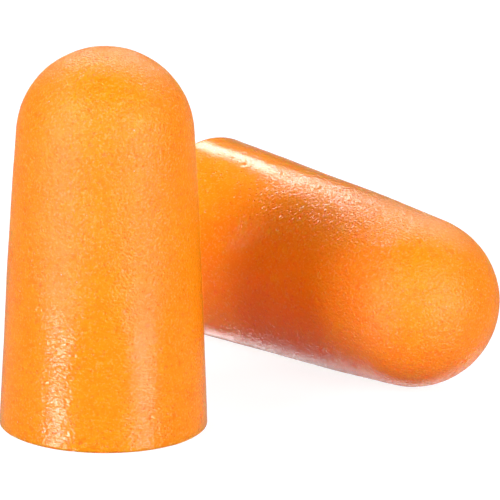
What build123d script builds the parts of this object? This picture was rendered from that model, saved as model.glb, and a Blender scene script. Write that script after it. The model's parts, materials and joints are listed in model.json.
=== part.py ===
"""A pair of loose, uncorded foam ear plugs: one stands on its flat base, the other lies on its side.

Both are the same one-piece moulding, a solid body of revolution: a flat base, a tapered wall whose draft grows
gently towards the nose, and a round dome that goes into the ear canal. Millimetres, +Z up. The origin is the centre
of the upright plug's base, on the surface that both plugs rest on.
"""

import os
from math import cos, radians, sin, tan

from build123d import *

# The moulding, the same for both plugs.
LENGTH = 24.0  # from the flat base to the top of the dome
BASE_DIAMETER = 13.0  # where the straight wall would meet the base
DOME_RADIUS = 5.5
BASE_DRAFT = 2.7  # degrees, how far the wall leans in over the lower half
NOSE_DRAFT = 4.4  # degrees, how far it leans in where the dome begins
RIM_RADIUS = 0.15  # the soft edge round the base

# Where the lying plug rests: the middle of its base seen from above, and the way its dome points.
LYING_BASE_X = 5.9
LYING_BASE_Y = 21.4
LYING_YAW = -42.8  # degrees from +X, anticlockwise from above

BASE_RADIUS = BASE_DIAMETER / 2


def wall_direction(draft):
    """The way the wall runs, from base to nose, where it leans in by that many degrees."""
    return Vector(-sin(radians(draft)), cos(radians(draft)))


def dome_start():
    """The point where the dome meets the wall, tangent to it."""
    lean = radians(NOSE_DRAFT)
    return Vector(DOME_RADIUS * cos(lean), LENGTH - DOME_RADIUS + DOME_RADIUS * sin(lean))


def wall_bend_start():
    """The point where the straight lower wall begins its gentle curve towards the nose.

    The curve is one arc, tangent to both drafts, so its two ends are equally far from where those lines cross.
    """
    nose = dome_start()
    low, high = tan(radians(BASE_DRAFT)), tan(radians(NOSE_DRAFT))
    crossing_height = (nose.X + nose.Y * high - BASE_RADIUS) / (high - low)
    crossing = Vector(BASE_RADIUS - crossing_height * low, crossing_height)
    return crossing - wall_direction(BASE_DRAFT) * (nose - crossing).length


def plug_outline():
    """Half of the plug's section, closed along its axis, with the base on the X axis."""
    foot = Vector(BASE_RADIUS, 0)
    bend = wall_bend_start()
    nose = dome_start()
    top = Vector(0, LENGTH)
    with BuildLine() as outline:
        Line((0, 0), foot)
        Line(foot, bend)
        TangentArc(bend, nose, tangent=wall_direction(BASE_DRAFT))
        TangentArc(nose, top, tangent=wall_direction(NOSE_DRAFT))
        Line(top, (0, 0))
    return outline.line


def ear_plug():
    """One plug, standing on its base at the origin."""
    with BuildPart() as plug:
        with BuildSketch(Plane.XZ):
            with BuildLine():
                add(plug_outline())
            make_face()
        revolve(axis=Axis.Z)
        rim = plug.edges().filter_by(GeomType.CIRCLE).sort_by(Axis.Z)[0]
        fillet(rim, RIM_RADIUS)
    return plug.part


def lying_place():
    """Lays a plug on the straight part of its wall, with its dome along LYING_YAW and dipped by the wall's draft."""
    base_height = BASE_RADIUS * cos(radians(BASE_DRAFT))
    place = Location((LYING_BASE_X, LYING_BASE_Y, base_height))
    return place * Rotation(0, 0, LYING_YAW) * Rotation(0, 90 + BASE_DRAFT, 0)


def main():
    os.makedirs("parts", exist_ok=True)
    pieces = {
        "upright_plug": ear_plug(),
        "lying_plug": lying_place() * ear_plug(),
    }
    for node, piece in pieces.items():
        piece.label = node
        export_step(piece, f"parts/{node}.step")
        box = piece.bounding_box()
        print(node, "volume", round(piece.volume, 1), "mm3, from", box.min, "to", box.max)
    base = lying_place().position
    tip = (lying_place() * Location((0, 0, LENGTH))).position
    print("lying plug base centre", base, "tip", tip)


main()
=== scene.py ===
"""Two loose foam ear plugs, one standing on its base and one lying on its side, in a plain white studio.

Each plug is built upright in its own frame, base at the origin and dome up, in millimetres, then scaled to
metres and laid where the CAD has it. Its skin follows the CAD outline, with the swells and pits of moulded
foam in the mesh, and the finest grain and the wrinkles in the material. Materials read the plug's own
coordinates, so the grain moves with the foam.
"""

import json
from math import cos, hypot, pi, radians, sin, tan

import bpy
import numpy as np
from mathutils import Euler, Matrix, Vector, noise


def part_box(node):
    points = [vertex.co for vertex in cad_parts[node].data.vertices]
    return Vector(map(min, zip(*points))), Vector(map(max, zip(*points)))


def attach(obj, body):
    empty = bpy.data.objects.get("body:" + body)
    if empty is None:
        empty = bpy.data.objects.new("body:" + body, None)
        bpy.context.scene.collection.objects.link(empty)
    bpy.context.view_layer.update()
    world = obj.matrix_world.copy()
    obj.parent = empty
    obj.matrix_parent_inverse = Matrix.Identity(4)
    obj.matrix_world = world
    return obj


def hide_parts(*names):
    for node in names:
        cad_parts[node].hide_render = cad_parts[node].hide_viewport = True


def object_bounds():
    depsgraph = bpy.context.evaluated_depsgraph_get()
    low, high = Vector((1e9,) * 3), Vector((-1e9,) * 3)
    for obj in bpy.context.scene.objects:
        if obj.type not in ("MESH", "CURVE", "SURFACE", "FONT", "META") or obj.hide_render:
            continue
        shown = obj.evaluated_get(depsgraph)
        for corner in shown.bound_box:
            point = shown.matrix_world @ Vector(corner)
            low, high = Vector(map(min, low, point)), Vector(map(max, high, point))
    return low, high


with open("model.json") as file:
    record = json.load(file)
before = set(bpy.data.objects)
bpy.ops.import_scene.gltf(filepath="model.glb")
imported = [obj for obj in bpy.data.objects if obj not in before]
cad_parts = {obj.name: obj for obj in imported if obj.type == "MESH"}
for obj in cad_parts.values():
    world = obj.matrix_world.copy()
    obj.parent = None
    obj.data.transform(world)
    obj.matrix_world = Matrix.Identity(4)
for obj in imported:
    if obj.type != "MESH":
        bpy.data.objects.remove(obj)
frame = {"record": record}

CAD_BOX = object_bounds()
MM = 0.001

# The moulding in millimetres and degrees: its own driving sizes, as the CAD has them.
DOME_RADIUS = 5.5
BASE_RADIUS = 6.5
BASE_DRAFT = radians(2.7)
NOSE_DRAFT = radians(4.4)
RIM_RADIUS = 0.15
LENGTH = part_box("upright_plug")[1][2] / MM

# The mesh: cells across each square cap, which fixes the columns round the wall, the size of a wall cell, and
# how far the dome's cap reaches from its tip.
CAP_CELLS = 90
COLUMNS = 4 * CAP_CELLS
MESH_CELL = 0.105
CAP_ANGLE = radians(50)

# Heights up each plug: where its fine wrinkles begin, are strongest, begin to fade and end, and where the
# smooth skin of the lower half begins and ends turning into the grainy skin of the nose. Then the depth of
# the wrinkles.
SKIN = {
    "upright_plug": (-4.0, 2.0, 9.0, 15.0, 5.0, 13.0, 0.048),
    "lying_plug": (5.0, 9.0, 15.0, 20.0, 10.0, 19.0, 0.052),
}

# Relief of the mesh: the height and the size of each layer of bumps, the grain, which is stronger above
# NOSE_START, the pits, and the share of it all that the base has.
SWELL = (0.035, 5.0)
LOW_SWELL = (0.012, 1.8)
ORANGE_PEEL = (0.008, 0.7)
GRAIN_SIZE = 0.28
WALL_GRAIN = 0.0025
NOSE_GRAIN = 0.0065
NOSE_START = 8
NOSE_RUN = 10
PIT_COUNT = 160
PIT_RADII = (0.10, 0.2)
PIT_DEPTH = 0.05
BASE_RELIEF = 0.3

# Colours of the foam. The pit and pore colours are painted shade in those hollows, and the palest cell colour
# and the speck colour are partly painted glints.
CELL_WALL = (0.95, 0.27, 0.001, 1)
CELL_MIDDLE = (0.97, 0.315, 0.005, 1)
PALE_CELL_AND_GLINT = (0.99, 0.375, 0.055, 1)
BROAD_PATCH = (0.98, 0.33, 0.006, 1)
PIT_SHADE_COLOUR = (0.86, 0.12, 0.001, 1)
PORE_SHADE_COLOUR = (0.88, 0.14, 0.001, 1)
SPECK_AND_GLINT_COLOUR = (1.0, 0.72, 0.45, 1)

# Fine texture of the foam in millimetres: the spacing and the radius of its dots, and the size of the rest.
PORES = (0.36, 0.10)
PORE_DEPTH = 0.02
# The specks are partly pale flecks of the foam and partly painted glints.
SPECKS_AND_GLINTS = (1.2, 0.06)
CELL_SIZE = 0.15
PATCH_SIZE = 2.5
WRINKLE_SIZE = 0.22
WRINKLE_STRETCH = (1, 1, 1.7)
WRINKLE_PATCH_SIZE = 1.6
FINE_GRAIN_SIZE = 0.16
WALL_FINE_GRAIN = 0.01
NOSE_FINE_GRAIN = 0.10

# How the foam takes light, and how far red, green and blue travel in it, in millimetres.
WALL_ROUGHNESS = 0.14
NOSE_ROUGHNESS = 0.265
REFRACTION = 1.36
LIGHT_REACH = (1.6, 0.4, 0.10)

# The studio, in metres, degrees and watts. A lamp below the floor stands for a softbox's image in it. The
# world is mirrored brighter below the horizon than above it.
FLOOR_HALF = 1.5
FLOOR_GREY = (0.25, 0.25, 0.25, 1)
FLOOR_GLOW = 0.88
FLOOR_WARM = (0.35, 0.2, 0.16, 1)
EMBER_COLOUR = (1.0, 0.35, 0.2, 1)
EMBER_GLOW = 0.18
WORLD_COLOUR = (1.0, 0.25, 0.25, 1)
WORLD_GLOW = 0.17
MIRRORED_BELOW = 0.36
MIRRORED_ABOVE = 0.12
HORIZON = 0.02
LAMP_DISTANCE = 0.4
LAMPS = {  # azimuth, elevation, width, height, power
    "left_softbox": (-51, 29, 0.18, 0.22, 1.65),
    "left_glow": (-51, -16.5, 0.145, 0.112, 1.05),
    "right_softbox": (44, 20, 0.237, 0.229, 1.6),
    "right_glow": (45.5, -19.5, 0.15, 0.105, 0.6),
    "back_softbox": (180, 37, 0.50, 0.085, 1.25),
    "back_glow": (180, -37, 0.50, 0.085, 0.25),
}
CAMERA_LENS = 378
CAMERA_ELEVATION = 15.6
CAMERA_DISTANCE = 0.325
CAMERA_ROLL = 0.8
CAMERA_TARGET = (9.0 * MM, 0, 11.3 * MM)


# ---------------------------------------------------------------- geometry of one plug


def wall_direction(draft):
    return np.array((-sin(draft), cos(draft)))


def outline():
    """The plug's outline as points (radius, height), evenly spaced, from the flat base to the dome's cap."""
    nose = np.array((DOME_RADIUS * cos(NOSE_DRAFT), LENGTH - DOME_RADIUS + DOME_RADIUS * sin(NOSE_DRAFT)))
    low, high = tan(BASE_DRAFT), tan(NOSE_DRAFT)
    crossing_height = (nose[0] + nose[1] * high - BASE_RADIUS) / (high - low)
    crossing = np.array((BASE_RADIUS - crossing_height * low, crossing_height))
    run = hypot(*(nose - crossing))
    bend = crossing - wall_direction(BASE_DRAFT) * run
    bend_radius = run / tan((NOSE_DRAFT - BASE_DRAFT) / 2)
    bend_centre = bend - bend_radius * np.array((cos(BASE_DRAFT), sin(BASE_DRAFT)))
    rim_centre = np.array((BASE_RADIUS - RIM_RADIUS * (tan(BASE_DRAFT) + 1 / cos(BASE_DRAFT)), RIM_RADIUS))

    def arc(centre, radius, start, end):
        count = max(3, round(radius * abs(end - start) / MESH_CELL))
        angles = np.linspace(start, end, count + 1)
        return centre + radius * np.stack((np.cos(angles), np.sin(angles)), axis=1)

    rim = arc(rim_centre, RIM_RADIUS, -pi / 2, BASE_DRAFT)
    straight_count = round(hypot(*(bend - rim[-1])) / MESH_CELL)
    steps = np.linspace(0, 1, straight_count + 1)[1:-1, None]
    straight = rim[-1] + steps * (bend - rim[-1])
    barrel = arc(bend_centre, bend_radius, BASE_DRAFT, NOSE_DRAFT)
    dome = arc(np.array((0, LENGTH - DOME_RADIUS)), DOME_RADIUS, NOSE_DRAFT, pi / 2 - CAP_ANGLE)
    return np.concatenate((rim, straight, barrel, dome[1:]))


def grid_of(rows, columns):
    """The row and the column of each place in a grid, row by row."""
    return (grid.ravel() for grid in np.meshgrid(np.arange(rows), np.arange(columns), indexing="ij"))


def square_cap():
    """A square grid squeezed into a unit disc: the distance from the middle and the angle of each point."""
    side = np.linspace(-1, 1, CAP_CELLS + 1)
    across, along = (grid.ravel() for grid in np.meshgrid(side, side, indexing="ij"))
    wide = np.abs(across) > np.abs(along)
    distance = np.where(wide, across, along)
    safe = np.where(distance == 0, 1, distance)
    angle = np.where(wide, pi / 4 * along / safe, pi / 2 - pi / 4 * across / safe)
    angle = np.where(distance < 0, angle + pi, angle)
    return np.abs(distance), np.mod(angle, 2 * pi)


def plug_surface():
    """The smooth plug: its points, the outward normal at each, and its four-sided faces."""
    rings = outline()
    ring_count = len(rings)
    angles = np.arange(COLUMNS) * 2 * pi / COLUMNS
    slope = np.gradient(rings, axis=0)
    slope /= np.hypot(*slope.T)[:, None]
    points = np.stack((rings[:, :1] * np.cos(angles), rings[:, :1] * np.sin(angles),
                       np.repeat(rings[:, 1:], COLUMNS, axis=1)), axis=-1).reshape(-1, 3)
    normals = np.stack((slope[:, 1:] * np.cos(angles), slope[:, 1:] * np.sin(angles),
                        np.repeat(-slope[:, :1], COLUMNS, axis=1)), axis=-1).reshape(-1, 3)
    row, column = grid_of(ring_count - 1, COLUMNS)
    after = (column + 1) % COLUMNS
    faces = [np.stack((row * COLUMNS + column, row * COLUMNS + after,
                       (row + 1) * COLUMNS + after, (row + 1) * COLUMNS + column), axis=1)]

    distance, angle = square_cap()
    edge = distance > 1 - 1e-9
    nearest_column = np.rint(angle / (2 * pi) * COLUMNS).astype(int) % COLUMNS
    side = CAP_CELLS + 1
    first, second = grid_of(CAP_CELLS, CAP_CELLS)
    corner = first * side + second
    for is_top in (False, True):
        if is_top:
            lean = distance * CAP_ANGLE
            reach = np.sin(lean)
            cap_normals = np.stack((reach * np.cos(angle), reach * np.sin(angle), np.cos(lean)), axis=1)
            cap_points = cap_normals * DOME_RADIUS + (0, 0, LENGTH - DOME_RADIUS)
        else:
            reach = distance * rings[0, 0]
            cap_points = np.stack((reach * np.cos(angle), reach * np.sin(angle), 0 * angle), axis=1)
            cap_normals = np.tile((0.0, 0.0, -1.0), (len(angle), 1))
        place = np.empty(len(angle), int)
        place[edge] = nearest_column[edge] + (ring_count - 1) * COLUMNS * is_top
        place[~edge] = len(points) + np.arange(np.count_nonzero(~edge))
        quads = np.stack((corner, corner + side, corner + side + 1, corner + 1), axis=1)
        faces.append(place[quads] if is_top else place[quads[:, ::-1]])
        points = np.concatenate((points, cap_points[~edge]))
        normals = np.concatenate((normals, cap_normals[~edge]))
    return points, normals, np.concatenate(faces)


def noise_at(points, size, seed):
    """Smooth noise from -1 to 1 with bumps about that size, in millimetres, on a grid askew to the plug."""
    shift = Vector((seed * 31.7, seed * 17.3, seed * 7.9))
    askew = points @ np.array(Euler((0.5, 0.9, 0.3)).to_matrix()) / size
    return np.array([noise.noise(Vector(point) + shift, noise_basis="PERLIN_NEW") for point in askew])


def scattered(points, random, count, reach):
    """A mark at each of some random points of the skin: 1 at its middle, falling to 0 at its own radius."""
    marks = np.zeros(len(points))
    for middle in points[random.choice(len(points), count, replace=False)]:
        radius = random.uniform(*reach)
        near = np.abs(points - middle).max(axis=1) < radius
        gap = np.linalg.norm(points[near] - middle, axis=1) / radius
        marks[near] = np.maximum(marks[near], np.clip(1 - gap**2, 0, 1))
    return marks


def foam_relief(points, normals, seed):
    """How far each point stands out of the smooth plug, in millimetres, and its pit mark, from 0 to 1."""
    random = np.random.default_rng(seed)
    height = points[:, 2]
    on_base = normals[:, 2] < -0.9
    nose = np.clip((height - NOSE_START) / NOSE_RUN, 0, 1)

    def layer(number, bumps):
        stands, size = bumps
        return stands * noise_at(points, size, seed + number)

    swell = layer(0, SWELL) + layer(1, LOW_SWELL)
    orange_peel = layer(2, ORANGE_PEEL)
    grain = (WALL_GRAIN + NOSE_GRAIN * nose) * noise_at(points, GRAIN_SIZE, seed + 3)
    pits = scattered(points, random, PIT_COUNT, PIT_RADII)
    relief = swell + orange_peel + grain - PIT_DEPTH * pits
    return np.where(on_base, BASE_RELIEF * relief, relief), pits


def build_plug(node, place, seed):
    """The foam of one plug, where the CAD has it, resting on the floor and never through it."""
    smooth, normals, faces = plug_surface()
    relief, pits = foam_relief(smooth, normals, seed)
    points = smooth + normals * relief[:, None]
    points = points @ np.array(place.to_3x3()).T + np.array(place.translation) / MM
    points[:, 2] = np.maximum(points[:, 2], 0)
    mesh = bpy.data.meshes.new(node + "_foam")
    mesh.from_pydata((points * MM).tolist(), [], faces.tolist())
    mesh.polygons.foreach_set("use_smooth", np.ones(len(faces), bool))
    mesh.attributes.new("foam_place", "FLOAT_VECTOR", "POINT").data.foreach_set("vector", smooth.ravel())
    mesh.attributes.new("pit", "FLOAT", "POINT").data.foreach_set("value", pits)
    mesh.update()
    piece = bpy.data.objects.new(node + "_foam", mesh)
    bpy.context.collection.objects.link(piece)
    return piece


# ---------------------------------------------------------------- materials


def node_maker(material):
    """A function that adds a node: settings are its properties, and inputs are values or feeding sockets."""
    tree = material.node_tree

    def add(kind, inputs=None, **settings):
        node = tree.nodes.new(kind)
        for name, value in settings.items():
            setattr(node, name, value)
        for name, value in (inputs or {}).items():
            if isinstance(value, bpy.types.NodeSocket):
                tree.links.new(value, node.inputs[name])
            else:
                node.inputs[name].default_value = value
        return node

    return add


def foam_material(name, shift, skin):
    """The skin of one plug. The shift moves its grain, so that the two plugs differ."""
    material = bpy.data.materials.new(name)
    material.use_nodes = True
    material.node_tree.nodes.clear()
    add = node_maker(material)

    def math(operation, first, second=0.0):
        return add("ShaderNodeMath", {0: first, 1: second}, operation=operation).outputs[0]

    def fade(value, start, end, low=0.0, high=1.0):
        inputs = {"Value": value, "From Min": start, "From Max": end, "To Min": low, "To Max": high}
        return add("ShaderNodeMapRange", inputs, interpolation_type="SMOOTHSTEP").outputs[0]

    def blend(factor, first, second):
        node = add("ShaderNodeMix", data_type="RGBA")
        tree = material.node_tree
        for socket, value in zip((node.inputs[0], node.inputs[6], node.inputs[7]), (factor, first, second)):
            if isinstance(value, bpy.types.NodeSocket):
                tree.links.new(value, socket)
            else:
                socket.default_value = value
        return node.outputs[2]

    def clouds(size, detail=2.0, stretch=None):
        vector = place
        if stretch:
            vector = add("ShaderNodeVectorMath", {0: place, 1: stretch}, operation="MULTIPLY").outputs[0]
        inputs = {"Vector": vector, "Scale": 1 / size, "Detail": detail}
        return add("ShaderNodeTexNoise", inputs).outputs["Fac"]

    def dots(size, radius):
        cells = add("ShaderNodeTexVoronoi", {"Vector": place, "Scale": 1 / size})
        return fade(cells.outputs["Distance"], radius / size, 0.4 * radius / size)

    own_place = add("ShaderNodeAttribute", attribute_name="foam_place").outputs["Vector"]
    pit = add("ShaderNodeAttribute", attribute_name="pit").outputs["Fac"]
    height = add("ShaderNodeSeparateXYZ", {"Vector": own_place}).outputs["Z"]
    place = add("ShaderNodeVectorMath", {0: own_place, 1: (shift, shift, shift)}, operation="ADD").outputs[0]

    pores = dots(*PORES)
    specks_and_glints = dots(*SPECKS_AND_GLINTS)
    cells = clouds(CELL_SIZE, detail=1)
    colour = blend(fade(cells, 0.36, 0.64), CELL_WALL, CELL_MIDDLE)
    # The palest cells are partly the foam's own pale tone and partly painted glints.
    colour = blend(fade(cells, 0.56, 0.7), colour, PALE_CELL_AND_GLINT)
    colour = blend(math("MULTIPLY", fade(clouds(PATCH_SIZE), 0.3, 0.7), 0.35), colour, BROAD_PATCH)
    # Painted shade: the pits and pores are darkened and reddened, as their hollows would be in shade.
    colour = blend(math("MULTIPLY", pit, 0.35), colour, PIT_SHADE_COLOUR)
    colour = blend(math("MULTIPLY", pores, 0.4), colour, PORE_SHADE_COLOUR)
    # Painted glints: pale specks, partly pale flecks of the foam and partly glints painted into its colour.
    colour = blend(math("MULTIPLY", specks_and_glints, 0.8), colour, SPECK_AND_GLINT_COLOUR)

    start, full, fading, end, smooth_end, nose_start, depth = skin
    wrinkle_mask = math("MULTIPLY", fade(height, start, full), fade(height, fading, end, 1.0, 0.0))
    wrinkle_mask = math("MULTIPLY", wrinkle_mask, fade(clouds(WRINKLE_PATCH_SIZE), 0.35, 0.6, 0.6, 1.0))
    wrinkles = clouds(WRINKLE_SIZE, detail=0, stretch=WRINKLE_STRETCH)
    grain = clouds(FINE_GRAIN_SIZE, detail=1)
    grain_depth = fade(height, smooth_end, nose_start, WALL_FINE_GRAIN, NOSE_FINE_GRAIN)
    relief = math("ADD", math("MULTIPLY", math("MULTIPLY", wrinkles, wrinkle_mask), depth),
                  math("MULTIPLY", grain, grain_depth))
    relief = math("SUBTRACT", relief, math("MULTIPLY", pores, PORE_DEPTH))
    bump = add("ShaderNodeBump", {"Height": relief, "Strength": 1.0, "Distance": MM})

    shader = add("ShaderNodeBsdfPrincipled", {
        "Base Color": colour,
        "Roughness": fade(height, smooth_end + 3, nose_start + 3, WALL_ROUGHNESS, NOSE_ROUGHNESS),
        "IOR": REFRACTION,
        "Subsurface Weight": 1.0,
        "Subsurface Radius": LIGHT_REACH,
        "Subsurface Scale": MM,
        "Normal": bump.outputs["Normal"],
    })
    add("ShaderNodeOutputMaterial", {"Surface": shader.outputs[0]})
    return material


# ---------------------------------------------------------------- studio


def aim(thing, azimuth, elevation, distance, target, roll=0.0):
    """Puts a camera or lamp that way from its target, facing it. Azimuth 0 is in front, + to the right."""
    turn, rise = radians(azimuth), radians(elevation)
    away = Vector((sin(turn) * cos(rise), -cos(turn) * cos(rise), sin(rise)))
    facing = away.to_track_quat("Z", "Y").to_matrix().to_4x4() @ Matrix.Rotation(radians(roll), 4, "Z")
    thing.matrix_world = Matrix.Translation(Vector(target) + away * distance) @ facing


def softbox(name, azimuth, elevation, width, height, power):
    """A soft lamp. One below the clear floor shows only as a highlight."""
    light = bpy.data.lights.new(name, "AREA")
    light.shape = "RECTANGLE"
    light.size = width
    light.size_y = height
    light.energy = power
    lamp = bpy.data.objects.new(name, light)
    bpy.context.collection.objects.link(lamp)
    aim(lamp, azimuth, elevation, LAMP_DISTANCE, FLOOR_MIDDLE)
    lamp.visible_diffuse = elevation > 0


def make_floor():
    """White acrylic: glows for the camera, lights the foam warmly, is clear to glossy and shadow rays."""
    mesh = bpy.data.meshes.new("floor")
    mesh.from_pydata([(-FLOOR_HALF, -FLOOR_HALF, 0), (FLOOR_HALF, -FLOOR_HALF, 0),
                      (FLOOR_HALF, FLOOR_HALF, 0), (-FLOOR_HALF, FLOOR_HALF, 0)], [], [(0, 1, 2, 3)])
    floor = bpy.data.objects.new("floor", mesh)
    bpy.context.collection.objects.link(floor)
    material = bpy.data.materials.new("white_acrylic")
    material.use_nodes = True
    material.node_tree.nodes.clear()
    add = node_maker(material)
    grey = add("ShaderNodeBsdfDiffuse", {"Color": FLOOR_GREY}).outputs[0]
    warm = add("ShaderNodeBsdfDiffuse", {"Color": FLOOR_WARM}).outputs[0]
    ember = add("ShaderNodeEmission", {"Color": EMBER_COLOUR, "Strength": EMBER_GLOW}).outputs[0]
    glow = add("ShaderNodeEmission", {"Strength": FLOOR_GLOW}).outputs[0]
    white = add("ShaderNodeAddShader", {0: grey, 1: glow}).outputs[0]
    clear = add("ShaderNodeBsdfTransparent").outputs[0]
    path = add("ShaderNodeLightPath")
    surface = add("ShaderNodeAddShader", {0: warm, 1: ember}).outputs[0]
    for ray, look in (("Is Camera Ray", white), ("Is Glossy Ray", clear), ("Is Shadow Ray", clear)):
        surface = add("ShaderNodeMixShader", {0: path.outputs[ray], 1: surface, 2: look}).outputs[0]
    add("ShaderNodeOutputMaterial", {"Surface": surface})
    mesh.materials.append(material)


def make_world():
    """Reddish and dim on the foam. Mirrored, it is white, and brighter below, through the clear floor."""
    world = bpy.data.worlds.new("studio")
    world.use_nodes = True
    world.node_tree.nodes.clear()
    world.cycles.sampling_method = "NONE"
    add = node_maker(world)
    place = add("ShaderNodeTexCoord").outputs["Generated"]
    rise = add("ShaderNodeSeparateXYZ", {"Vector": place}).outputs["Z"]
    strength = add("ShaderNodeMapRange", {
        "Value": rise,
        "From Min": -HORIZON,
        "From Max": HORIZON,
        "To Min": MIRRORED_BELOW,
        "To Max": MIRRORED_ABOVE,
    }).outputs[0]
    mirrored = add("ShaderNodeBackground", {"Color": (1, 1, 1, 1), "Strength": strength}).outputs[0]
    soft = add("ShaderNodeBackground", {"Color": WORLD_COLOUR, "Strength": WORLD_GLOW}).outputs[0]
    is_glossy = add("ShaderNodeLightPath").outputs["Is Glossy Ray"]
    look = add("ShaderNodeMixShader", {0: is_glossy, 1: soft, 2: mirrored}).outputs[0]
    add("ShaderNodeOutputWorld", {"Surface": look})
    bpy.context.scene.world = world


def make_camera():
    data = bpy.data.cameras.new("camera")
    data.lens = CAMERA_LENS
    data.clip_start = 0.01
    camera = bpy.data.objects.new("camera", data)
    bpy.context.collection.objects.link(camera)
    aim(camera, 0, CAMERA_ELEVATION, CAMERA_DISTANCE, CAMERA_TARGET, roll=CAMERA_ROLL)
    bpy.context.scene.camera = camera


FLOOR_MIDDLE = (Vector(CAD_BOX[0]) + Vector(CAD_BOX[1])) / 2 * Vector((1, 1, 0))

make_camera()
make_floor()
make_world()
bpy.context.scene.view_settings.view_transform = "Standard"
bpy.context.scene.cycles.blur_glossy = 0
for name, settings in LAMPS.items():
    softbox(name, *settings)

mount = next(entry for entry in frame["record"]["mounts"] if entry["name"] == "lying_base")
dome_way = -Vector(mount["axis"]).normalized()
level = Vector((0, 0, 1)).cross(dome_way).normalized()
upward = dome_way.cross(level)
lying_place = Matrix((level, upward, dome_way)).transposed().to_4x4()
lying_place.translation = Vector(mount["pos_m"])

places = {"upright_plug": Matrix.Identity(4), "lying_plug": lying_place}
for number, (node, place) in enumerate(places.items()):
    piece = build_plug(node, place, 10 * number)
    piece.data.materials.append(foam_material(node + "_skin", 40 * number, SKIN[node]))
    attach(piece, node)
    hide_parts(node)
